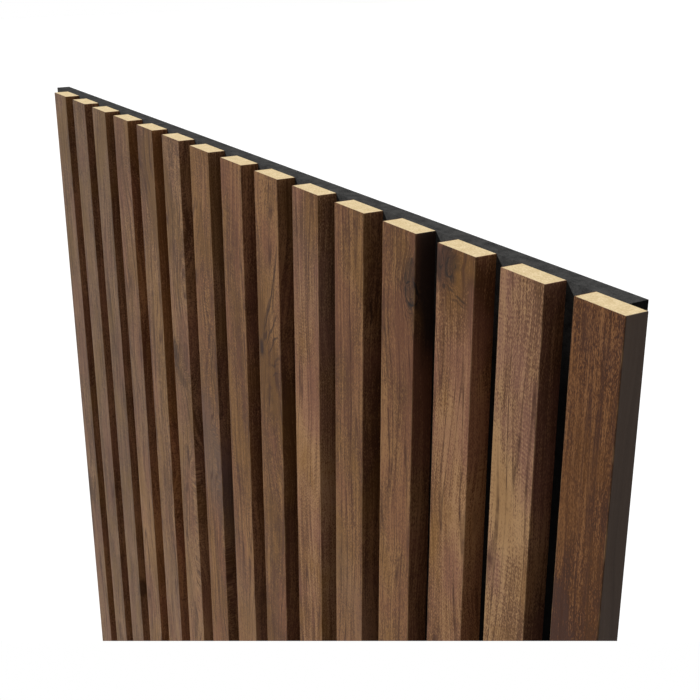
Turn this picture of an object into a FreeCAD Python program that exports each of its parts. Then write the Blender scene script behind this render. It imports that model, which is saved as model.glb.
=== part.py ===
import FreeCAD, Part
import os

import Sketcher

# Acoustic slat wall panel: veneered slats glued and stapled onto one sheet of felt.
# +X runs to the right as seen from the room, +Y runs into the wall and +Z runs up.
# The origin is the middle of the felt's back face, the face that lies on the wall.

# Driving dimensions in millimetres, counts as plain numbers
SIZES = {
    "panel_length": 2400,
    "slat_count": 15,
    "slat_width": 25,
    "slat_gap": 15,
    "slat_depth": 10,
    "core_round": 0.1,
    "veneer_thickness": 0.4,
    "felt_thickness": 9,
    "lap_width": 9,
    "staple_rows": 5,
    "staple_inset": 60,
    "staple_crown": 10,
    "staple_bite": 6,
    "wire_width": 1.2,
    "wire_thickness": 0.6,
}

doc = FreeCAD.newDocument("acoustic_slat_wall_panel")
sheet = doc.addObject("Spreadsheet::Sheet", "sizes")
for row, (alias, number) in enumerate(SIZES.items(), start=1):
    sheet.set(f"A{row}", alias)
    sheet.set(f"B{row}", str(number))
    sheet.setAlias(f"B{row}", alias)
doc.recompute()

# Sizes that follow from the driving dimensions, as expressions over the sheet
PITCH = "(sizes.slat_width + sizes.slat_gap)"
FELT_WIDTH = f"(sizes.slat_count * {PITCH})"
FELT_REACH = "(sizes.lap_width + sizes.slat_gap)"
FIRST_SLAT_X = f"({FELT_REACH} + sizes.slat_width / 2 - {FELT_WIDTH} / 2)"
CORE_WIDTH = "(sizes.slat_width - 2 * sizes.veneer_thickness)"
CORE_DEPTH = "(sizes.slat_depth - sizes.veneer_thickness)"
SLAT_ROUND = "(sizes.core_round + sizes.veneer_thickness)"
STAPLE_LENGTH = "(sizes.felt_thickness + sizes.staple_bite)"
FIRST_ROW_Z = "(sizes.staple_inset - sizes.panel_length / 2)"
ROWS_HEIGHT = "(sizes.panel_length - 2 * sizes.staple_inset)"
# The last slat overhangs the felt by the lap, so every staple sits half a lap left of its slat's middle
STAPLE_SHIFT = "(-sizes.lap_width / 2)"
FIRST_STAPLE_X = f"({FIRST_SLAT_X} + {STAPLE_SHIFT})"
SLATS_SPREAD = f"((sizes.slat_count - 1) * {PITCH})"


def value(expression):
    """Number that an expression over the sheet gives."""
    return float(sheet.evalExpression(expression))


def new_body(label, x_place, y_place, z_place="0"):
    """Empty body whose placement follows the sheet."""
    body = doc.addObject("PartDesign::Body", label)
    body.Label = label
    for axis, place in zip("xyz", (x_place, y_place, z_place)):
        body.setExpression(f"Placement.Base.{axis}", place)
    return body


def origin_feature(body, role):
    """Origin plane or axis of the body with the given role."""
    return next(feature for feature in body.Origin.OriginFeatures if feature.Role == role)


def new_sketch(body, plane_role, name):
    """Sketch that lies on one of the body's origin planes."""
    sketch = body.newObject("Sketcher::SketchObject", name)
    sketch.AttachmentSupport = [(origin_feature(body, plane_role), "")]
    sketch.MapMode = "FlatFace"
    return sketch


def hold_corner(sketch, line, kind, place, axis_line):
    """Ties the start of a line to the sketch's origin along one direction."""
    if value(place) == 0:
        sketch.addConstraint(Sketcher.Constraint("PointOnObject", line, 1, axis_line))
        return
    number = sketch.addConstraint(Sketcher.Constraint(kind, -1, 1, line, 1, value(place)))
    sketch.setExpression(f"Constraints[{number}]", place)


def outline(sketch, corners):
    """Closed outline of straight lines with each corner held by its two expressions."""
    horizontal_axis, vertical_axis = -1, -2
    first = sketch.GeometryCount
    points = [FreeCAD.Vector(value(x), value(y), 0) for x, y in corners]
    for start, end in zip(points, points[1:] + points[:1]):
        sketch.addGeometry(Part.LineSegment(start, end), False)
    for index in range(len(corners)):
        line = first + index
        following = first + (index + 1) % len(corners)
        sketch.addConstraint(Sketcher.Constraint("Coincident", line, 2, following, 1))
    for index, (x, y) in enumerate(corners):
        hold_corner(sketch, first + index, "DistanceX", x, vertical_axis)
        hold_corner(sketch, first + index, "DistanceY", y, horizontal_axis)


def rectangle(sketch, left, right, low, high):
    """Closed rectangle between four expressions."""
    outline(sketch, [(left, low), (right, low), (right, high), (left, high)])


def u_profile(sketch, width, wall, opens_at, web_at):
    """U on its side: two legs from opens_at to web_at, joined by a web of the same wall."""
    inner_at = f"({web_at} + {wall})" if value(web_at) < value(opens_at) else f"({web_at} - {wall})"
    left, right = f"(-{width} / 2)", f"({width} / 2)"
    inner_left, inner_right = f"({left} + {wall})", f"({right} - {wall})"
    outline(sketch, [
        (left, opens_at), (left, web_at), (right, web_at), (right, opens_at),
        (inner_right, opens_at), (inner_right, inner_at),
        (inner_left, inner_at), (inner_left, opens_at),
    ])


def pad_both_ways(body, sketch, length):
    """Pad of the sketch, half of the length to each side of its plane."""
    pad = body.newObject("PartDesign::Pad", f"{body.Name}_pad")
    pad.Profile = sketch
    pad.Midplane = True
    pad.setExpression("Length", length)
    doc.recompute()
    return pad


def round_upright_edges(body, base, half_width, y_place, radius, name):
    """Fillet on the two edges along Z that stand at plus and minus half_width, y_place."""
    wanted = [(-value(half_width), value(y_place)), (value(half_width), value(y_place))]
    names = []
    for number, edge in enumerate(base.Shape.Edges, start=1):
        low, high = edge.Vertexes[0].Point, edge.Vertexes[-1].Point
        for x, y in wanted:
            if all(abs(end.x - x) < 1e-6 and abs(end.y - y) < 1e-6 for end in (low, high)):
                names.append(f"Edge{number}")
    fillet = body.newObject("PartDesign::Fillet", name)
    fillet.Base = (base, names)
    fillet.setExpression("Radius", radius)
    doc.recompute()
    return fillet


def pocket_towards_room(body, sketch, depth):
    """Pocket from a sketch on the back face towards -Y."""
    before = body.Shape.Volume
    pocket = body.newObject("PartDesign::Pocket", f"{sketch.Name}_pocket")
    pocket.Profile = sketch
    pocket.Reversed = True
    pocket.setExpression("Length", depth)
    doc.recompute()
    if body.Shape.Volume >= before:
        raise ValueError(f"{pocket.Name} cuts nothing")
    return pocket


def repeat_staples(body, features, along_slats):
    """Pattern of the features over all rows, and over all slats where that is wanted."""
    pattern = body.newObject("PartDesign::LinearPattern", f"{body.Name}_pattern")
    pattern.Originals = features
    pattern.Direction = (origin_feature(body, "Z_Axis"), [""])
    pattern.setExpression("Length", ROWS_HEIGHT)
    pattern.setExpression("Occurrences", "sizes.staple_rows")
    if along_slats:
        pattern.Direction2 = (origin_feature(body, "X_Axis"), [""])
        pattern.setExpression("Length2", SLATS_SPREAD)
        pattern.setExpression("Occurrences2", "sizes.slat_count")
    body.Tip = pattern
    doc.recompute()
    return pattern


def staple_rectangle(sketch, left, right, x_centre):
    """Rectangle as high as the staple's wire, in the first row."""
    low = f"({FIRST_ROW_Z} - sizes.wire_width / 2)"
    high = f"({FIRST_ROW_Z} + sizes.wire_width / 2)"
    rectangle(sketch, f"({x_centre} + {left})", f"({x_centre} + {right})", low, high)


def leg_rectangles(sketch, x_centre):
    """Sections of the two staple legs, in the first row."""
    outer, inner = "(sizes.staple_crown / 2)", "(sizes.staple_crown / 2 - sizes.wire_thickness)"
    staple_rectangle(sketch, f"(-{outer})", f"(-{inner})", x_centre)
    staple_rectangle(sketch, inner, outer, x_centre)


def make_felt():
    """Felt sheet with a slot for every staple."""
    felt = new_body("felt_backing", "0", "0")
    section = new_sketch(felt, "XY_Plane", "felt_section")
    rectangle(section, f"(-{FELT_WIDTH} / 2)", f"({FELT_WIDTH} / 2)", "(-sizes.felt_thickness)", "0")
    pad_both_ways(felt, section, "sizes.panel_length")

    crown_slot = new_sketch(felt, "XZ_Plane", "felt_crown_slot")
    staple_rectangle(crown_slot, "(-sizes.staple_crown / 2)", "(sizes.staple_crown / 2)", FIRST_STAPLE_X)
    crown_pocket = pocket_towards_room(felt, crown_slot, "sizes.wire_thickness")

    leg_slots = new_sketch(felt, "XZ_Plane", "felt_leg_slots")
    leg_rectangles(leg_slots, FIRST_STAPLE_X)
    leg_pocket = pocket_towards_room(felt, leg_slots, "sizes.felt_thickness")

    repeat_staples(felt, [crown_pocket, leg_pocket], along_slats=True)
    return felt


def make_core(index):
    """Fibreboard core of one slat, with eased front edges and slots for the staple legs."""
    x_place = f"{FIRST_SLAT_X} + {index} * {PITCH}"
    core = new_body(f"slat_core_{index + 1:02d}", x_place, "-sizes.felt_thickness")
    section = new_sketch(core, "XY_Plane", f"core_section_{index + 1:02d}")
    rectangle(section, f"(-{CORE_WIDTH} / 2)", f"({CORE_WIDTH} / 2)", f"(-{CORE_DEPTH})", "0")
    pad = pad_both_ways(core, section, "sizes.panel_length")
    round_upright_edges(core, pad, f"({CORE_WIDTH} / 2)", f"(-{CORE_DEPTH})", "sizes.core_round",
                        f"core_round_{index + 1:02d}")

    leg_slots = new_sketch(core, "XZ_Plane", f"core_leg_slots_{index + 1:02d}")
    leg_rectangles(leg_slots, STAPLE_SHIFT)
    leg_pocket = pocket_towards_room(core, leg_slots, "sizes.staple_bite")
    repeat_staples(core, [leg_pocket], along_slats=False)
    return core


def make_veneer(index):
    """Veneer of one slat, folded over the core's front and both its sides."""
    x_place = f"{FIRST_SLAT_X} + {index} * {PITCH}"
    veneer = new_body(f"slat_veneer_{index + 1:02d}", x_place, "-sizes.felt_thickness")
    section = new_sketch(veneer, "XY_Plane", f"veneer_section_{index + 1:02d}")
    u_profile(section, "sizes.slat_width", "sizes.veneer_thickness", "0", "(-sizes.slat_depth)")
    pad = pad_both_ways(veneer, section, "sizes.panel_length")
    outside = round_upright_edges(veneer, pad, "(sizes.slat_width / 2)", "(-sizes.slat_depth)",
                                  SLAT_ROUND, f"veneer_outer_round_{index + 1:02d}")
    round_upright_edges(veneer, outside, f"({CORE_WIDTH} / 2)", f"(-{CORE_DEPTH})",
                        "sizes.core_round", f"veneer_inner_round_{index + 1:02d}")
    return veneer


def make_staples():
    """Flat-wire staples, driven from the back until the crown lies flush in the felt."""
    staples = new_body("staples", FIRST_STAPLE_X, f"-{STAPLE_LENGTH}", FIRST_ROW_Z)
    section = new_sketch(staples, "XY_Plane", "staple_section")
    u_profile(section, "sizes.staple_crown", "sizes.wire_thickness", "0", STAPLE_LENGTH)
    pad = pad_both_ways(staples, section, "sizes.wire_width")
    repeat_staples(staples, [pad], along_slats=True)
    return staples


def check_document(parts):
    """Stops where an object failed or a sub-part's shape isn't sound."""
    for item in doc.Objects:
        if {"Invalid", "Error"} & set(item.State):
            raise ValueError(f"{item.Name} failed: {item.State}")
    for part in parts:
        if part.Shape.isNull() or not part.Shape.isValid():
            raise ValueError(f"{part.Label} has no sound shape")


slats = range(int(value("sizes.slat_count")))
parts = [make_felt()]
parts += [make_core(index) for index in slats]
parts += [make_veneer(index) for index in slats]
parts.append(make_staples())
doc.recompute()
check_document(parts)

os.makedirs("parts", exist_ok=True)
for part in parts:
    part.Shape.exportStep(f"parts/{part.Label}.step")
    box = part.Shape.BoundBox
    print(part.Label, len(part.Shape.Solids), round(part.Shape.Volume, 1),
          [round(end, 3) for end in (box.XMin, box.XMax, box.YMin, box.YMax, box.ZMin, box.ZMax)])
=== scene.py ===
import math

import bpy
from mathutils import Matrix, Vector


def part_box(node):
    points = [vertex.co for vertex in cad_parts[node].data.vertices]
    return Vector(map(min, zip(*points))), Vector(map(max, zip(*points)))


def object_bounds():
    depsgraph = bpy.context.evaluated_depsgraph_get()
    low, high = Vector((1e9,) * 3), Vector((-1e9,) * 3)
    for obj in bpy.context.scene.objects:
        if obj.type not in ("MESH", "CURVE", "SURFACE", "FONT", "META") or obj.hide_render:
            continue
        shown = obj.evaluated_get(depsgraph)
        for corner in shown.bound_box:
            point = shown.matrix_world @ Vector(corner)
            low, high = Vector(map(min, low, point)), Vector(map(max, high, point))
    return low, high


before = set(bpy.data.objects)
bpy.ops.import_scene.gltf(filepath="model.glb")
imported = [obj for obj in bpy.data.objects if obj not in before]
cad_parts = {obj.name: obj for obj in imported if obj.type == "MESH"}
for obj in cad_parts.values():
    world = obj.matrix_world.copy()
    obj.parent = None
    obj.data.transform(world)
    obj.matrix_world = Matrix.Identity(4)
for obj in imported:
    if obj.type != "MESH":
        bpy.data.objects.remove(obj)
cad_low, cad_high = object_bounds()

# Looks of an acoustic slat wall panel: walnut-veneered fibreboard slats on dark pressed felt.
# Everything is in metres in the frame of the part: +X right, +Y into the wall, +Z up.
# The patterns of the materials are drawn in millimetres.

MILLIMETRE = 0.001
PER_METRE = 1 / MILLIMETRE


def linear(hex_colour):
    """Linear colour of an sRGB hex value."""
    channels = [int(hex_colour[place:place + 2], 16) / 255 for place in (1, 3, 5)]
    return tuple(c / 12.92 if c <= 0.04045 else ((c + 0.055) / 1.055) ** 2.4 for c in channels) + (1.0,)


def add(tree, kind, inputs=(), **settings):
    """Adds a node with its settings; each input takes a value, a socket or a node's output."""
    node = tree.nodes.new("ShaderNode" + kind)
    for name, setting in settings.items():
        setattr(node, name, setting)
    for socket, source in dict(inputs).items():
        if isinstance(source, bpy.types.Node):
            source = next(output for output in source.outputs if output.enabled)
        if isinstance(source, bpy.types.NodeSocket):
            tree.links.new(source, node.inputs[socket])
        else:
            node.inputs[socket].default_value = source
    return node


def new_material(name):
    """Empty material and its node tree."""
    material = bpy.data.materials.new(name)
    material.use_nodes = True
    material.node_tree.nodes.clear()
    return material, material.node_tree


def drawn_noise(tree, across, along, width, length, seed, detail=2.0):
    """Noise whose marks are about width by length millimetres."""
    spot = add(tree, "CombineXYZ", {
        "X": add(tree, "Math", {0: across, 1: width}, operation="DIVIDE"),
        "Y": add(tree, "Math", {0: along, 1: length}, operation="DIVIDE"),
        "Z": seed,
    })
    return add(tree, "TexNoise", {"Vector": spot, "Scale": 1.0, "Detail": detail})


def object_place(tree):
    """Millimetres along the three axes of the part."""
    return add(tree, "Mapping", {"Vector": add(tree, "TexCoord").outputs["Object"],
                                 "Scale": (PER_METRE, PER_METRE, PER_METRE)})


# Walnut veneer

# Leaves that the slats are wrapped in: early wood, mid tone, late wood, and a rosier and a more
# golden tone for patches
LEAVES = {
    "ash": ("#7B6048", "#5D4633", "#3F2B1B", "#664739", "#624A26"),
    "umber": ("#846547", "#634833", "#452D1A", "#6D4A3A", "#684C28"),
    "tobacco": ("#805E3D", "#604229", "#442A18", "#6A4432", "#654720"),
    "chestnut": ("#8E6C4B", "#6D4C32", "#4A2F1B", "#775042", "#725022"),
    "amber": ("#947451", "#71523A", "#4C331F", "#7B564B", "#7B5A34"),
    "russet": ("#724E30", "#4D2D16", "#311A0B", "#3B2620", "#533313"),
}
SLAT_LEAVES = [
    "ash", "ash", "ash", "umber", "umber", "umber", "tobacco", "tobacco",
    "tobacco", "chestnut", "tobacco", "tobacco", "chestnut", "amber", "russet",
]
# Greyed wood, pores and growth lines, the paler folded edges (a painted highlight, and wear), and the painted
# reflection on the last slat's right side
GREY_TINT = "#584A42"
PIT_BROWN = "#331B0E"
WORN_AND_HIGHLIT_TAN = "#9A7855"
LAST_SIDE_REFLECTION_GREYS = ("#352A23", "#55463C")

# Share of the rosy or golden tone in a patch of it
TINT_SHARE = 0.42

# Figure of a leaf: how far its grain wanders sideways and how long its growth lines are, in
# millimetres; most leaves are calm, and those cut near a fork are lively
CALM = (9.0, 420.0)
FIGURE = {
    4: (16.0, 260.0), 5: (20.0, 220.0), 6: (24.0, 200.0), 7: (20.0, 240.0), 9: (20.0, 200.0),
    11: (10.0, 360.0), 12: (13.0, 280.0), 13: (12.0, 300.0),
}

# Darker and lighter reaches of a leaf: depth below the top, half height, change of tone
REACHES = {
    1: [(80, 40, 0.12), (195, 60, -0.14), (290, 30, 0.08), (365, 30, 0.28), (437, 25, 0.16)],
    2: [(15, 30, -0.14), (105, 20, -0.08), (205, 30, 0.2), (262, 18, -0.14), (350, 25, -0.18),
        (415, 25, 0.24)],
    3: [(40, 40, -0.14), (125, 25, 0.08), (190, 20, -0.14), (335, 25, 0.3), (395, 30, 0.2)],
    4: [(35, 40, -0.12), (150, 30, -0.22), (270, 30, 0.12), (300, 60, 0.2)],
    5: [(35, 45, -0.42), (118, 30, 0.26), (320, 48, 0.38)],
    6: [(40, 25, -0.14), (110, 30, 0.12), (160, 20, -0.12), (200, 28, 0.24), (300, 50, 0.34)],
    7: [(105, 60, 0.16), (190, 40, -0.18)],
    8: [(100, 50, -0.16), (212, 25, 0.24), (285, 45, 0.26)],
    9: [(20, 40, 0.28), (60, 20, 0.1), (108, 40, -0.4), (266, 30, -0.32)],
    10: [(0, 40, -0.2), (134, 30, 0.32), (240, 20, -0.14)],
    11: [(95, 40, -0.22), (205, 45, 0.42)],
    12: [(30, 50, -0.28), (115, 48, 0.28), (182, 36, 0.26)],
    13: [(6, 26, -0.58), (85, 40, 0.16), (112, 30, 0.08)],
    14: [(20, 40, -0.1), (90, 20, 0.6)],
    15: [(70, 30, -0.02), (142, 42, -0.76)],
}

# Change of tone from the left edge of a leaf's front to its right edge
ACROSS = {7: -0.1, 9: -0.14, 10: 0.08, 12: -0.34, 13: 0.24, 14: -0.3, 15: -0.26}

# Rosier (above nought) and more golden reaches, given in the same way
TINTS = {
    1: [(185, 40, 0.1)],
    2: [(150, 40, 0.1)],
    3: [(20, 50, -0.1)],
    4: [(210, 50, 0.08), (120, 40, -0.06)],
    5: [(25, 40, -0.12), (130, 50, -0.08)],
    6: [(48, 40, -0.2), (115, 30, 0.1)],
    7: [(35, 60, -0.14)],
    8: [(40, 40, 0.1), (150, 50, -0.06)],
    9: [(15, 40, -0.04), (104, 40, -0.24)],
    10: [(100, 90, 0.05)],
    11: [(30, 40, 0.06), (110, 40, -0.08)],
    12: [(50, 50, 0.12), (115, 40, 0.14)],
    13: [(6, 12, -0.08), (60, 50, 0.16)],
    14: [(30, 50, 0.14), (98, 26, -0.08), (140, 30, 0.1)],
    15: [(20, 50, -0.1), (98, 32, -0.16), (136, 22, 0.3)],
}

# Greyish reaches: depth below the top, half height, share of grey
GREYED = {
    4: [(190, 50, 0.2)], 5: [(325, 40, 0.25)], 7: [(188, 45, 0.45)], 8: [(260, 45, 0.2)],
    10: [(35, 40, 0.16)], 11: [(200, 35, 0.2)],
}

# Knots and dark veins per slat: place across the slat from its middle, depth below its top, half
# width, half height, lean in degrees, darkness of the core and of the rim; a place past half of
# the slat's width is round the edge, on its side
MARKS = {
    1: [(-8, 316, 5, 16, 4, 0.5, 0.2)],
    3: [(14, 360, 4, 10, 0, 0.7, 0.0)],
    5: [(5, 230, 4, 80, 2, 0, 0.3)],
    6: [(3, 74, 5, 62, 3, 0, 0.4), (-8, 136, 3.5, 8, 10, 0.8, 0.9), (-1, 150, 9, 4, -30, 0.45, 0.4),
        (0, 262, 6, 62, 0, 0, 0.4)],
    7: [(9, 128, 4, 26, 10, 0.35, 0.6), (-1, 190, 5, 80, 5, 0, 0.3)],
    9: [(9, 47, 1.2, 13, -6, 0.5, 0.0), (1.5, 65, 0.9, 27, -20, 0.8, 0.0),
        (-9, 94, 3.0, 4.5, -20, 0.95, 0.5), (4, 88, 0.7, 9, -40, 0.75, 0.0),
        (4, 99, 5, 0.7, 8, 0.6, 0.0), (3.5, 81, 0.8, 15, -31, 0.75, 0.0),
        (6, 105, 4, 0.7, 22, 0.55, 0.0), (-1, 71, 0.6, 19, -19, 0.55, 0.0),
        (-5, 86, 1.2, 6, -28, 0.7, 0.0), (8, 97, 0.6, 6, -48, 0.5, 0.0),
        (5, 60, 0.6, 17, -14, 0.45, 0.0), (0, 180, 5, 60, 0, 0, 0.35)],
    11: [(17, 47, 0.8, 8, 0, 0.7, 0.0)],
    12: [(20.5, 20, 9, 42, 0, 0.92, 0.0), (10.2, 25.0, 4.4, 5.2, 0, 0.4, 1.1),
         (11.4, 16.0, 3.2, 3.8, 25, 0.3, 0.65), (10.5, 20, 6.0, 11, 0, 0.46, 0.0),
         (9.5, 11.6, 2.6, 1.2, 35, 0.75, 0.0), (5.6, 20.5, 1.4, 3.4, 0, 0.7, 0.0)],
    13: [(-3.5, 7.4, 3.6, 4.2, 0, 0.25, 1.0), (-10.3, 5.3, 1.6, 3.8, 0, 0.5, 1.0),
         (-5, 6, 7, 8, 0, 0.58, 0.0), (-6.5, 1.2, 6, 2, 0, 0.7, 0.0),
         (-6.5, 17.4, 1.2, 1.5, 0, 0.7, 0.0), (-3.2, 16.2, 4.8, 0.6, -27, 0.6, 0.0),
         (4, 18.9, 3.8, 0.6, -10, 0.65, 0.0), (2, 21, 5, 0.5, -8, 0.45, 0.0),
         (-11, 8, 2.4, 9, 8, 0.75, 0.0), (-3, 11.5, 4, 2.2, 0, 0.5, 0.0)],
}

# Colour that the knots and veins darken a leaf to, nearly black where the knots are dead ones
VEIN_BROWN = "#210F07"
KNOT_BLACKS = {12: "#150D09", 13: "#1A100A"}

# Painted light on the right side of a slat, which lies in shade: its leaf is painted lighter and redder than
# the front by these factors of red, green and blue, and darker on slat 14
RIGHT_SIDE_PAINTED_LIGHT = (1.7, 1.35, 1.15)
OTHER_RIGHT_SIDES_PAINTED_LIGHT = {
    6: (1.45, 1.3, 1.3), 7: (1.3, 1.3, 1.5), 8: (1.4, 1.3, 1.5), 9: (1.12, 1.07, 1.12),
    10: (1.35, 1.4, 1.55), 11: (1.12, 1.1, 1.2), 12: (1.05, 1.02, 1.1), 13: (1.17, 1.08, 1.03),
    14: (0.93, 0.82, 0.83),
}

# Contrast and coarseness of the fine grain of a leaf
USUAL_GRAIN = (1.15, 0.88)
OTHER_GRAINS = {12: (1.15, 0.85), 13: (1.3, 0.75), 14: (1.5, 0.66), 15: (1.75, 0.62)}

# Strength of the ripple figure of a leaf
FAINT_RIPPLE = 0.04
RIPPLE = {8: 0.08, 10: 0.08, 14: 0.17}
# Pitch of its arcs, and how far they bend up and down
RIPPLE_PITCH = 2.1
RIPPLE_ARCH = 30.0

# Growth lines in one full swell of the wood
LINES_PER_SWELL = 10

# Seeds of the patterns lie this far apart from leaf to leaf, and each pattern of a leaf adds a
# number of its own to the leaf's seed
SEED_STEP = 7.3

# Levels of a reach run aslant, this much up the leaf for each millimetre across it, and are frayed
# by this many millimetres
REACH_SLANT = 0.9
REACH_FRAY = 60.0
# A reach has faded out this many half heights from its middle
REACH_FADE = 1.3

# The front turns into the side from just before the folded edge to just past it, and the edge is painted
# paler this far to either side: a painted highlight along the arris, and wear
BEFORE_EDGE = 0.2
PAST_EDGE = 0.5
WORN_AND_HIGHLIT_REACH = 0.45

# Bends of a knot or vein: width, least length, length against the mark's half height, and reach
BEND_WIDTH = 8.0
LEAST_BEND_LENGTH = 11.0
BEND_PER_HEIGHT = 1.6
BEND_REACH = 6.0
# Share by which the outline of a knot or vein wavers
WAVER = 0.9

# Rim of a knot: its least and greatest thickness; rings in and round it: their pitch and reach
THIN_RIM = 0.1
THICK_RIM = 3.6
RING_PITCH = 1.9
RING_REACH = 8.0
# Darkness of the rings against the rim's
RING_SHARE = 0.8
# How much heavier the rim and the rings are towards the lower left
LOWER_LEFT = 0.07
# How far the grain swings aside against a knot's smaller half, and half the height that a mark
# without a core has to pass for the grain to swing
SWING = 1.1
SHORT_MARK = 20


def veneer_place(tree, low, high):
    """Millimetres across the unrolled leaf and along it, up from the slat's top."""
    middle_x = (low.x + high.x) / 2
    origin = Vector((-middle_x, -low.y, -high.z)) * PER_METRE
    place = add(tree, "Mapping", {
        "Vector": add(tree, "TexCoord").outputs["Object"],
        "Location": origin,
        "Scale": (PER_METRE, PER_METRE, PER_METRE),
    })
    split = add(tree, "SeparateXYZ", {"Vector": place})
    # The leaf goes on round the front edges, so the depth behind the front counts as width
    turned = add(tree, "Math", {
        0: add(tree, "Math", {0: split.outputs["X"]}, operation="SIGN"),
        1: split.outputs["Y"],
    }, operation="MULTIPLY")
    across = add(tree, "Math", {0: split.outputs["X"], 1: turned}, operation="ADD")
    return across, split.outputs["Z"]


def mark_distance(tree, across, along, mark, seed):
    """Distance from the middle of a knot or vein, 1 on its rim, uneven as grown wood is."""
    place, depth, half_width, half_height, lean = mark[:5]
    bend_length = max(LEAST_BEND_LENGTH, half_height * BEND_PER_HEIGHT)
    bends = drawn_noise(tree, across, along, BEND_WIDTH, bend_length, seed + 40, detail=1.0)
    bend = add(tree, "Math", {0: bends, 1: 0.5}, operation="SUBTRACT")
    bent = add(tree, "Math", {0: bend, 1: BEND_REACH, 2: across}, operation="MULTIPLY_ADD")
    raised = add(tree, "Math", {0: bend, 1: -BEND_REACH, 2: along}, operation="MULTIPLY_ADD")
    spot = add(tree, "Mapping", {
        "Vector": add(tree, "CombineXYZ", {"X": bent, "Y": raised}),
        "Location": (place, -depth, 0.0),
        "Rotation": (0.0, 0.0, math.radians(lean)),
        "Scale": (half_width, half_height, 1.0),
    }, vector_type="TEXTURE")
    waver = drawn_noise(tree, across, along, half_width * 1.4, half_height, seed, detail=1.5)
    even = add(tree, "VectorMath", {0: spot}, operation="LENGTH").outputs["Value"]
    nearest = add(tree, "Math", {0: even, 1: WAVER / 2}, operation="SUBTRACT")
    return add(tree, "Math", {0: waver, 1: WAVER, 2: nearest}, operation="MULTIPLY_ADD")


def mark_shade(tree, across, along, distance, mark, seed):
    """Darkness of a knot: its core, a thin uneven rim and fainter rings in it and round it."""
    place, depth, half_width, half_height, _, core_dark, rim_dark = mark
    core = add(tree, "MapRange", {"Value": distance, "From Min": 0.5, "From Max": 1.25,
                                  "To Min": core_dark, "To Max": 0.0}, interpolation_type="SMOOTHSTEP")
    if not rim_dark:
        return core

    # The rim and rings are heavier at the lower left than at the upper right, where they open;
    # the change is nought in the middle of the knot
    from_middle = LOWER_LEFT * place / half_width - LOWER_LEFT * depth / half_height
    lower = add(tree, "Math", {0: along, 1: -LOWER_LEFT / half_height, 2: from_middle},
                operation="MULTIPLY_ADD")
    lower_left = add(tree, "Math", {0: across, 1: -LOWER_LEFT / half_width, 2: lower},
                     operation="MULTIPLY_ADD")
    uneven = add(tree, "Math", {0: drawn_noise(tree, across, along, 3, 4, seed, detail=3.0),
                                1: lower_left}, operation="ADD")
    thickness = add(tree, "MapRange", {"Value": uneven, "From Min": 0.38, "From Max": 0.68,
                                       "To Min": THIN_RIM / half_width, "To Max": THICK_RIM / half_width})
    outwards = add(tree, "Math", {0: distance, 1: 1.0}, operation="SUBTRACT")
    off_rim = add(tree, "Math", {0: outwards}, operation="ABSOLUTE")
    rim = add(tree, "MapRange", {"Value": off_rim, "From Min": 0.0, "From Max": thickness,
                                 "To Min": rim_dark, "To Max": 0.0})

    turns = add(tree, "Math", {0: distance, 1: math.tau * half_width / RING_PITCH}, operation="MULTIPLY")
    ring = add(tree, "MapRange", {"Value": add(tree, "Math", {0: turns}, operation="SINE"),
                                  "From Min": 0.2, "From Max": 1.0})
    fading = add(tree, "MapRange", {"Value": distance,
                                    "From Min": 1.0, "From Max": 1.0 + RING_REACH / half_width,
                                    "To Min": rim_dark * RING_SHARE, "To Max": 0.0})
    rings = add(tree, "Math", {0: ring, 1: fading}, operation="MULTIPLY")
    broken = add(tree, "MapRange", {"Value": uneven, "From Min": 0.4, "From Max": 0.6})
    rings = add(tree, "Math", {0: rings, 1: broken}, operation="MULTIPLY")
    dark = add(tree, "Math", {0: core, 1: rim}, operation="MAXIMUM")
    return add(tree, "Math", {0: dark, 1: rings}, operation="MAXIMUM")


def knots_and_veins(tree, slat, across, along, flow, seed):
    """Flow of the grain, swung round the knots, and the darkness of the knots and veins, if any."""
    shade = None
    for number, mark in enumerate(MARKS.get(slat, [])):
        half_width, half_height, core_dark, rim_dark = mark[2], mark[3], mark[5], mark[6]
        distance = mark_distance(tree, across, along, mark, seed + 20 + number)
        # The grain swings round a mark with a rim, unless the mark is short and has no core
        if rim_dark and (core_dark or half_height > SHORT_MARK):
            swing = add(tree, "MapRange", {"Value": distance, "From Min": 0.5, "From Max": 3.2,
                                           "To Min": min(half_width, half_height) * SWING, "To Max": 0.0},
                        interpolation_type="SMOOTHSTEP")
            flow = add(tree, "Math", {0: flow, 1: swing}, operation="ADD")
        dark = mark_shade(tree, across, along, distance, mark, seed + 60 + number)
        shade = dark if shade is None else add(tree, "Math", {0: shade, 1: dark}, operation="MAXIMUM")
    return flow, shade


def frayed_height(tree, across, along, blotch):
    """Millimetres up the leaf, with levels that run aslant and are frayed by its blotches."""
    slanted = add(tree, "Math", {0: across, 1: REACH_SLANT, 2: along}, operation="MULTIPLY_ADD")
    return add(tree, "Math", {0: blotch, 1: REACH_FRAY, 2: slanted}, operation="MULTIPLY_ADD")


def add_reaches(tree, value, slanted, reaches):
    """A value with the changes that each reach of the leaf makes to it."""
    for depth, half_height, change in reaches:
        # The blotches' mean is a half, so fraying raises a level by half its width
        above = add(tree, "Math", {0: slanted, 1: depth - REACH_FRAY / 2}, operation="ADD")
        off = add(tree, "Math", {0: above}, operation="ABSOLUTE")
        reach = add(tree, "MapRange", {"Value": off, "From Min": 0.0, "From Max": half_height * REACH_FADE,
                                       "To Min": change, "To Max": 0.0}, interpolation_type="SMOOTHSTEP")
        value = add(tree, "Math", {0: value, 1: reach}, operation="ADD")
    return value


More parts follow.
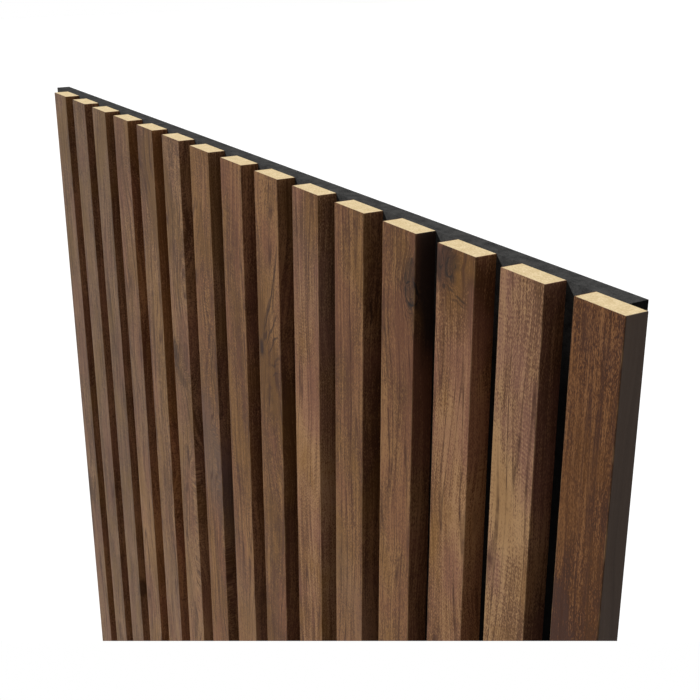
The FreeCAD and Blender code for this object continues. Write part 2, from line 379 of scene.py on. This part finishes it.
def ripple_figure(tree, slat, across, along, wander, on_right, seed):
    """Fine arcs across the grain, and how strongly they show: in patches of the front."""
    arched = add(tree, "Math", {0: wander, 1: RIPPLE_ARCH, 2: along}, operation="MULTIPLY_ADD")
    turns = add(tree, "Math", {0: arched, 1: math.tau / RIPPLE_PITCH}, operation="MULTIPLY")
    arc = add(tree, "Math", {0: turns}, operation="SINE")
    patches = add(tree, "MapRange", {"Value": drawn_noise(tree, across, along, 13, 34, seed + 12),
                                     "From Min": 0.48, "From Max": 0.62,
                                     "To Min": 0.0, "To Max": RIPPLE.get(slat, FAINT_RIPPLE)})
    on_front = add(tree, "Math", {0: 1.0, 1: on_right}, operation="SUBTRACT")
    return arc, add(tree, "Math", {0: patches, 1: on_front}, operation="MULTIPLY")


def growth_lines(tree, slat, across, along, flow, on_right, seed):
    """Thin soft lines, the contours of a slow swell: long arches on a calm leaf, fainter on the
    right side."""
    line_length = FIGURE.get(slat, CALM)[1]
    swell = drawn_noise(tree, flow, along, 15, line_length, seed + 7, detail=1.5)
    turns = add(tree, "Math", {0: swell, 1: math.tau * LINES_PER_SWELL}, operation="MULTIPLY")
    line = add(tree, "MapRange", {"Value": add(tree, "Math", {0: turns}, operation="SINE"),
                                  "From Min": 0.78, "From Max": 1.0})
    broken = add(tree, "MapRange", {"Value": drawn_noise(tree, across, along, 5, 9, seed + 8),
                                    "From Min": 0.35, "From Max": 0.65, "To Min": 0.25, "To Max": 0.85})
    broken = add(tree, "Math", {0: on_right, 1: -0.55, 2: broken}, operation="MULTIPLY_ADD",
                 use_clamp=True)
    return add(tree, "Math", {0: line, 1: broken}, operation="MULTIPLY")


def patched_colour(tree, slat, ramp, tints, across, along, slanted, seed):
    """Colour of the leaf with its rosy, golden and grey patches."""
    rosy, golden = tints
    colour = ramp
    patch = drawn_noise(tree, across, along, 20, 42, seed + 6)
    patch = add_reaches(tree, patch, slanted, TINTS.get(slat, []))
    for tint, start, full in ((rosy, 0.5, 0.66), (golden, 0.48, 0.34)):
        share = add(tree, "MapRange", {"Value": patch, "From Min": start, "From Max": full,
                                       "To Min": 0.0, "To Max": 1.0})
        tinted = add(tree, "Mix", {"Factor": TINT_SHARE, "A": ramp, "B": tint}, data_type="RGBA")
        colour = add(tree, "Mix", {"Factor": share, "A": colour, "B": tinted}, data_type="RGBA")
    if slat in GREYED:
        grey = add_reaches(tree, 0.0, slanted, GREYED[slat])
        colour = add(tree, "Mix", {"Factor": grey, "A": colour, "B": linear(GREY_TINT)},
                     data_type="RGBA")
    return colour


def paint_right_side_light(tree, slat, colour, streak, on_right):
    """Colour with painted light on the right side, which lies in shade: the leaf is painted lighter and
    redder there; on the last slat the side is painted greyer and calmer, a painted reflection of the white
    surroundings.
    """
    if slat == len(SLAT_LEAVES):
        # Painted reflection: the last slat's open right side is painted grey, as the white surroundings
        # reflect in it
        dark_grey, pale_grey = (linear(grey) for grey in LAST_SIDE_REFLECTION_GREYS)
        calm = add(tree, "Mix", {"Factor": streak, "A": dark_grey, "B": pale_grey}, data_type="RGBA")
        return add(tree, "Mix", {"Factor": on_right, "A": colour, "B": calm}, data_type="RGBA")
    # Painted light: the right side lies in shade, and its leaf is painted lighter by these factors
    side = OTHER_RIGHT_SIDES_PAINTED_LIGHT.get(slat, RIGHT_SIDE_PAINTED_LIGHT) + (1.0,)
    return add(tree, "Mix", {"Factor": on_right, "A": colour, "B": side}, data_type="RGBA",
               blend_type="MULTIPLY")


def folded_edges(tree, colour, across, along, half_front, seed):
    """Colour with the front edges, where the leaf is folded round the core, painted a little paler: a painted
    highlight along the arris, and wear.
    """
    off_middle = add(tree, "Math", {0: across}, operation="ABSOLUTE")
    # Painted highlight along the arris, and wear: the edges are painted paler
    on_edge = add(tree, "Math", {0: off_middle, 1: half_front, 2: WORN_AND_HIGHLIT_REACH}, operation="COMPARE")
    worn_and_highlit = add(tree, "MapRange", {"Value": drawn_noise(tree, across, along, 4, 12, seed + 10),
                                    "From Min": 0.45, "From Max": 0.7, "To Min": 0.0, "To Max": 0.45})
    worn_and_highlit = add(tree, "Math", {0: on_edge, 1: worn_and_highlit}, operation="MULTIPLY")
    return add(tree, "Mix", {"Factor": worn_and_highlit, "A": colour, "B": linear(WORN_AND_HIGHLIT_TAN)}, data_type="RGBA")


def walnut_veneer(slat, low, high):
    """Sliced walnut under matt lacquer: brown streaks along the slat, rosy and golden patches,
    growth lines, open pores, and here and there a knot that the grain flows round."""
    material, tree = new_material(f"walnut_veneer_{slat:02d}")
    early, middle, late, *tints = (linear(colour) for colour in LEAVES[SLAT_LEAVES[slat - 1]])
    across, along = veneer_place(tree, low, high)
    half_front = (high.x - low.x) * PER_METRE / 2
    on_right = add(tree, "MapRange", {"Value": across, "From Min": half_front - BEFORE_EDGE,
                                      "From Max": half_front + PAST_EDGE})
    seed = slat * SEED_STEP

    # The grain wanders sideways on its way up, and swings round the knots
    wander = drawn_noise(tree, across, along, 30, 70, seed, detail=0.6)
    flow = add(tree, "Math", {0: wander, 1: FIGURE.get(slat, CALM)[0], 2: across},
               operation="MULTIPLY_ADD")
    flow, shade = knots_and_veins(tree, slat, across, along, flow, seed)

    # Tone from late wood to early wood. Real threads, flecks and pores are a tenth or two of a
    # millimetre wide, too fine to show, so they are drawn a few times as coarse.
    contrast, coarseness = OTHER_GRAINS.get(slat, USUAL_GRAIN)
    blotch = drawn_noise(tree, across, along, 16, 45, seed + 1)
    streak = drawn_noise(tree, flow, along, 2.6, 150, seed + 2, detail=3.0)
    thread = drawn_noise(tree, flow, along, 0.7 * coarseness, 28, seed + 11)
    grain = drawn_noise(tree, flow, along, 0.9 * coarseness, 4, seed + 3)
    fleck = drawn_noise(tree, flow, along, 0.5 * coarseness, 1.1, seed + 4)
    curl = drawn_noise(tree, across, along, 7, 2.4, seed + 5)
    tone = 0.47
    for pattern, share in ((blotch, 1.1), (streak, 1.6), (thread, 1.25 * contrast), (grain, 0.7),
                           (fleck, 2.1 * contrast), (curl, 0.35)):
        centred = add(tree, "Math", {0: pattern, 1: 0.5}, operation="SUBTRACT")
        tone = add(tree, "Math", {0: centred, 1: share, 2: tone}, operation="MULTIPLY_ADD")
    arc, rippled = ripple_figure(tree, slat, across, along, wander, on_right, seed)
    tone = add(tree, "Math", {0: arc, 1: rippled, 2: tone}, operation="MULTIPLY_ADD")
    if slat in ACROSS:
        tone = add(tree, "Math", {0: across, 1: ACROSS[slat] / (2 * half_front), 2: tone},
                   operation="MULTIPLY_ADD")
    slanted = frayed_height(tree, across, along, blotch)
    tone = add_reaches(tree, tone, slanted, REACHES.get(slat, []))
    ramp = add(tree, "ValToRGB", {"Fac": tone})
    steps = ramp.color_ramp.elements
    steps[0].position, steps[0].color = 0.05, late
    steps[1].position, steps[1].color = 0.95, early
    steps.new(0.5).color = middle

    colour = patched_colour(tree, slat, ramp, tints, across, along, slanted, seed)

    # Growth lines and open pores, which are dark dashes a few millimetres long
    line = growth_lines(tree, slat, across, along, flow, on_right, seed)
    pore = add(tree, "MapRange", {"Value": drawn_noise(tree, flow, along, 0.4, 3, seed + 9, detail=1.0),
                                  "From Min": 0.6, "From Max": 0.78, "To Min": 0.0, "To Max": 0.5})
    pit = add(tree, "Math", {0: line, 1: pore}, operation="MAXIMUM")
    colour = add(tree, "Mix", {"Factor": pit, "A": colour, "B": linear(PIT_BROWN)}, data_type="RGBA")
    if shade is not None:
        dark_wood = linear(KNOT_BLACKS.get(slat, VEIN_BROWN))
        colour = add(tree, "Mix", {"Factor": shade, "A": colour, "B": dark_wood}, data_type="RGBA")

    # Painted light on the right sides of the slats, and a painted reflection on the last slat's right side
    colour = paint_right_side_light(tree, slat, colour, streak, on_right)
    colour = folded_edges(tree, colour, across, along, half_front, seed)

    relief = add(tree, "Bump", {"Strength": 0.25, "Distance": 0.1 * MILLIMETRE,
                                "Height": add(tree, "Math", {0: fleck, 1: pit}, operation="SUBTRACT")})
    gloss = add(tree, "MapRange", {"Value": fleck, "From Min": 0.3, "From Max": 0.7,
                                   "To Min": 0.6, "To Max": 0.72})
    surface = add(tree, "BsdfPrincipled", {"Base Color": colour, "Roughness": gloss, "IOR": 1.45,
                                           "Specular IOR Level": 0.15, "Normal": relief})
    add(tree, "OutputMaterial", {"Surface": surface})
    return material


# Fibreboard, felt and staples

def sawn_fibreboard():
    """Medium-density fibreboard, sawn across: pale tan with fine darker fibre flecks, dead matt.
    The flecks are drawn 0.7 mm wide, a few times as coarse as real ones, so that they show."""
    material, tree = new_material("sawn_fibreboard")
    place = object_place(tree)
    flecks = add(tree, "TexNoise", {"Vector": place, "Scale": 1 / 0.7, "Detail": 3.0})
    clouds = add(tree, "TexNoise", {"Vector": place, "Scale": 1 / 4.0, "Detail": 2.0})
    tone = add(tree, "Math", {0: clouds, 1: 0.35}, operation="MULTIPLY")
    tone = add(tree, "Math", {0: flecks, 1: 0.7, 2: tone}, operation="MULTIPLY_ADD")
    ramp = add(tree, "ValToRGB", {"Fac": tone})
    steps = ramp.color_ramp.elements
    steps[0].position, steps[0].color = 0.35, linear("#C0A87B")
    steps[1].position, steps[1].color = 0.75, linear("#E3CFA8")
    relief = add(tree, "Bump", {"Strength": 0.3, "Distance": 0.1 * MILLIMETRE, "Height": flecks})
    surface = add(tree, "BsdfPrincipled", {"Base Color": ramp, "Roughness": 0.9, "IOR": 1.45,
                                           "Specular IOR Level": 0.2, "Normal": relief})
    add(tree, "OutputMaterial", {"Surface": surface})
    return material


# Share of black in the felt: on its front, where the felt between the slats is painted dark as shade, near
# the front's ends and on the sawn ends, and what the back has less and the long edges have more, as painted
# shade
FELT_AND_SHADE_BLACK = "#0E0E0F"
FRONT_PAINTED_SHADE_BLACK = 0.88
FRONT_END_BLACK = 0.48
SAWN_BLACK = 0.46
BACK_LESS = 0.32
LONG_EDGE_PAINTED_SHADE = 0.45
# Millimetres from an end of the panel where the front's painted shade starts to fade and where it is least
PALING_FROM = 45.0
PALEST_FROM = 18.0


def pressed_felt(low, high):
    """Needled polyester felt: black, matted fibres of lighter and darker grey, no gloss. The front is painted
    darker away from the ends of the panel, a painted shade for the felt deep between the slats, and the long
    edges, which are slit with a knife, are painted darker too, a painted shade; the sawn ends are greyer, and
    the back greyer still. Real fibres are far thinner than the 0.9 mm tufts that are drawn here, which stand
    for clumps of them."""
    material, tree = new_material("pressed_polyester_felt")
    place = object_place(tree)
    matted = add(tree, "TexNoise", {"Vector": place, "Scale": 1 / 0.9, "Detail": 4.0, "Distortion": 2.0})
    clouds = add(tree, "TexNoise", {"Vector": place, "Scale": 1 / 5.0, "Detail": 3.0})
    tone = add(tree, "Math", {0: clouds, 1: 0.7}, operation="MULTIPLY")
    tone = add(tree, "Math", {0: matted, 1: 0.9, 2: tone}, operation="MULTIPLY_ADD")
    ramp = add(tree, "ValToRGB", {"Fac": tone})
    steps = ramp.color_ramp.elements
    steps[0].position, steps[0].color = 0.55, linear("#313131")
    steps[1].position, steps[1].color = 1.0, linear("#605F5D")

    # Painted shade: the front is darker away from the ends of the panel, so that the felt deep between the
    # slats looks shaded; near the ends it is paler
    middle = (low.z + high.z) / 2 * PER_METRE
    half_length = (high.z - low.z) / 2 * PER_METRE
    above = add(tree, "Math", {0: add(tree, "SeparateXYZ", {"Vector": place}).outputs["Z"], 1: middle},
                operation="SUBTRACT")
    front = add(tree, "MapRange", {"Value": add(tree, "Math", {0: above}, operation="ABSOLUTE"),
                                   "From Min": half_length - PALING_FROM,
                                   "From Max": half_length - PALEST_FROM,
                                   "To Min": FRONT_PAINTED_SHADE_BLACK, "To Max": FRONT_END_BLACK},
                interpolation_type="SMOOTHSTEP")

    # The front faces -Y, the back +Y, a long edge along X, and a sawn end none of them
    facing = add(tree, "SeparateXYZ", {"Vector": add(tree, "NewGeometry").outputs["True Normal"]})
    painted_shade_and_tone = add(tree, "MapRange", {"Value": facing.outputs["Y"], "From Min": -1.0, "From Max": 0.0,
                                        "To Min": front, "To Max": SAWN_BLACK})
    back_paling = add(tree, "MapRange", {"Value": facing.outputs["Y"], "From Min": 0.0, "From Max": 1.0,
                                       "To Min": 0.0, "To Max": BACK_LESS})
    darker = add(tree, "Math", {0: painted_shade_and_tone, 1: back_paling}, operation="SUBTRACT")
    # Painted shade on the long edges, which face along X
    slit = add(tree, "Math", {0: facing.outputs["X"]}, operation="ABSOLUTE")
    darker = add(tree, "Math", {0: slit, 1: LONG_EDGE_PAINTED_SHADE, 2: darker}, operation="MULTIPLY_ADD",
                 use_clamp=True)
    # The felt's own black, with painted shade on the front between the slats and on the long edges
    colour = add(tree, "Mix", {"Factor": darker, "A": ramp, "B": linear(FELT_AND_SHADE_BLACK)}, data_type="RGBA")
    relief = add(tree, "Bump", {"Strength": 0.5, "Distance": 0.3 * MILLIMETRE, "Height": matted})
    surface = add(tree, "BsdfPrincipled", {"Base Color": colour, "Roughness": 1.0, "IOR": 1.45,
                                           "Specular IOR Level": 0.0, "Sheen Weight": 0.01,
                                           "Sheen Roughness": 0.6, "Normal": relief})
    add(tree, "OutputMaterial", {"Surface": surface})
    return material


def galvanised_wire():
    """Flattened zinc-coated wire: grey metal with a soft, slightly patchy gloss."""
    material, tree = new_material("galvanised_wire")
    patches = add(tree, "TexNoise", {"Vector": object_place(tree), "Scale": 1 / 0.6, "Detail": 2.0})
    gloss = add(tree, "MapRange", {"Value": patches, "To Min": 0.28, "To Max": 0.5})
    ramp = add(tree, "ValToRGB", {"Fac": patches})
    steps = ramp.color_ramp.elements
    steps[0].color = linear("#A9ACAE")
    steps[1].color = linear("#D0D2D2")
    surface = add(tree, "BsdfPrincipled", {"Base Color": ramp, "Metallic": 1.0, "Roughness": gloss})
    add(tree, "OutputMaterial", {"Surface": surface})
    return material


def dress(node_name, material):
    """Gives a node of the part its material, on every slot."""
    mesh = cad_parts[node_name].data
    if not mesh.materials:
        mesh.materials.append(material)
    for number in range(len(mesh.materials)):
        mesh.materials[number] = material


fibreboard = sawn_fibreboard()
dress("felt_backing", pressed_felt(*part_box("felt_backing")))
dress("staples", galvanised_wire())
for slat in range(1, len(SLAT_LEAVES) + 1):
    veneer = f"slat_veneer_{slat:02d}"
    dress(f"slat_core_{slat:02d}", fibreboard)
    dress(veneer, walnut_veneer(slat, *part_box(veneer)))


# Stage: a pale floor that keeps the shadow, in white surroundings

FLOOR_SIZE = 60.0
FLOOR_GLOW = 0.12
LIGHT_FROM_AROUND = 0.17


def shown_ray(tree):
    """1 for the rays that show the surroundings: the camera's own, glossy and transmission rays."""
    path = add(tree, "LightPath")
    seen = add(tree, "Math", {0: path.outputs["Is Camera Ray"], 1: path.outputs["Is Glossy Ray"]},
               operation="MAXIMUM")
    return add(tree, "Math", {0: seen, 1: path.outputs["Is Transmission Ray"]}, operation="MAXIMUM")


def stage_floor():
    """Large pale floor that the panel stands on."""
    bpy.ops.object.select_all(action="DESELECT")
    bpy.ops.mesh.primitive_plane_add(size=FLOOR_SIZE, location=(0, 0, cad_low.z))
    floor = bpy.context.object
    floor.name = "floor"
    floor.data.transform(floor.matrix_world)
    floor.matrix_world = Matrix.Identity(4)
    material, tree = new_material("pale_floor")
    glow = add(tree, "Emission", {"Color": linear("#FFFFFF"), "Strength": FLOOR_GLOW})
    seen = add(tree, "AddShader", {0: add(tree, "BsdfDiffuse", {"Color": linear("#EDEDED")}), 1: glow})
    unseen = add(tree, "BsdfDiffuse", {"Color": linear("#6A6A6A")})
    add(tree, "OutputMaterial", {"Surface": add(tree, "MixShader", {0: shown_ray(tree), 1: unseen, 2: seen})})
    floor.data.materials.append(material)


def white_surroundings():
    """White for the camera and in reflections, and a low even light on the object."""
    world = bpy.data.worlds.new("white_surroundings")
    bpy.context.scene.world = world
    world.use_nodes = True
    tree = world.node_tree
    tree.nodes.clear()
    white = add(tree, "Background", {"Color": linear("#FFFFFF"), "Strength": 1.0})
    low = add(tree, "Background", {"Color": linear("#FFFFFF"), "Strength": LIGHT_FROM_AROUND})
    add(tree, "OutputWorld", {"Surface": add(tree, "MixShader", {0: shown_ray(tree), 1: low, 2: white})})


def studio_lamp(name, travel, strength, softness):
    """Distant studio lamp: the way its light travels, its strength and its width in degrees."""
    lamp = bpy.data.lights.new(name, "SUN")
    lamp.energy = strength
    lamp.angle = math.radians(softness)
    holder = bpy.data.objects.new(name, lamp)
    holder.rotation_mode = "QUATERNION"
    holder.rotation_quaternion = Vector(travel).to_track_quat("-Z", "Y")
    bpy.context.scene.collection.objects.link(holder)


# Camera: place in millimetres of the part's frame, turn and tilt in degrees, focal length and
# size of the picture in pixels
CAMERA_PLACE = Vector((565.86, -278.2, 1321.3)) * MILLIMETRE
CAMERA_TURN = 58.81
CAMERA_TILT = 20.565
FOCAL_PIXELS = 1162.96
FRAME_PIXELS = 700
SENSOR_WIDTH = 36.0
NEAREST_SEEN = 5 * MILLIMETRE

# The lower margin of the picture is blank from this row of pixels down: a card this far before
# the lens covers it, and goes this many pixels past the picture
MARGIN_ROW = 641
CARD_DISTANCE = 20 * MILLIMETRE
CARD_OVERHANG = 20


def camera_axes():
    """Right, up and forward of the camera."""
    turn, tilt = math.radians(CAMERA_TURN), math.radians(CAMERA_TILT)
    forward = Vector((-math.sin(turn) * math.cos(tilt), math.cos(turn) * math.cos(tilt), -math.sin(tilt)))
    right = forward.cross(Vector((0, 0, 1))).normalized()
    return right, right.cross(forward), forward


def facing_turn():
    """Turn of a thing whose X runs to the camera's right, its Y up and its Z towards the lens."""
    right, up, forward = camera_axes()
    return Matrix((right, up, -forward)).transposed().to_4x4()


def set_camera():
    """Camera at the viewing angle of the photograph."""
    data = bpy.data.cameras.new("camera")
    data.sensor_width = SENSOR_WIDTH
    data.lens = FOCAL_PIXELS / FRAME_PIXELS * SENSOR_WIDTH
    data.clip_start = NEAREST_SEEN
    camera = bpy.data.objects.new("camera", data)
    camera.matrix_world = Matrix.Translation(CAMERA_PLACE) @ facing_turn()
    bpy.context.scene.collection.objects.link(camera)
    bpy.context.scene.camera = camera


def stage_margin_card():
    """White card right before the lens, which leaves the lower margin of the picture blank."""
    right, up, forward = camera_axes()
    per_pixel = CARD_DISTANCE / FOCAL_PIXELS
    half_width = (FRAME_PIXELS / 2 + CARD_OVERHANG) * per_pixel
    top = (MARGIN_ROW - FRAME_PIXELS / 2) * per_pixel
    bottom = (FRAME_PIXELS / 2 + CARD_OVERHANG) * per_pixel
    middle = CAMERA_PLACE + forward * CARD_DISTANCE - up * (top + bottom) / 2
    bpy.ops.object.select_all(action="DESELECT")
    bpy.ops.mesh.primitive_plane_add(size=1.0)
    card = bpy.context.object
    card.name = "margin_card"
    size = Matrix.Diagonal((half_width * 2, bottom - top, 1.0, 1.0))
    card.data.transform(Matrix.Translation(middle) @ facing_turn() @ size)
    material, tree = new_material("blank_card")
    add(tree, "OutputMaterial", {"Surface": add(tree, "Emission", {"Color": linear("#FFFFFF")})})
    card.data.materials.append(material)
    for ray in ("diffuse", "glossy", "transmission", "volume_scatter", "shadow"):
        setattr(card, f"visible_{ray}", False)


bpy.context.scene.view_settings.view_transform = "Standard"
stage_floor()
white_surroundings()
# Key from the upper left of the front, a weak fill that grazes it from the right, and a weak
# lamp for the back
studio_lamp("key", travel=(0.62, 0.62, -0.66), strength=4.85, softness=4.0)
studio_lamp("fill", travel=(-0.9, 0.4, -0.15), strength=0.3, softness=30.0)
studio_lamp("back", travel=(-0.2, -0.95, -0.2), strength=1.2, softness=30.0)
set_camera()
stage_margin_card()
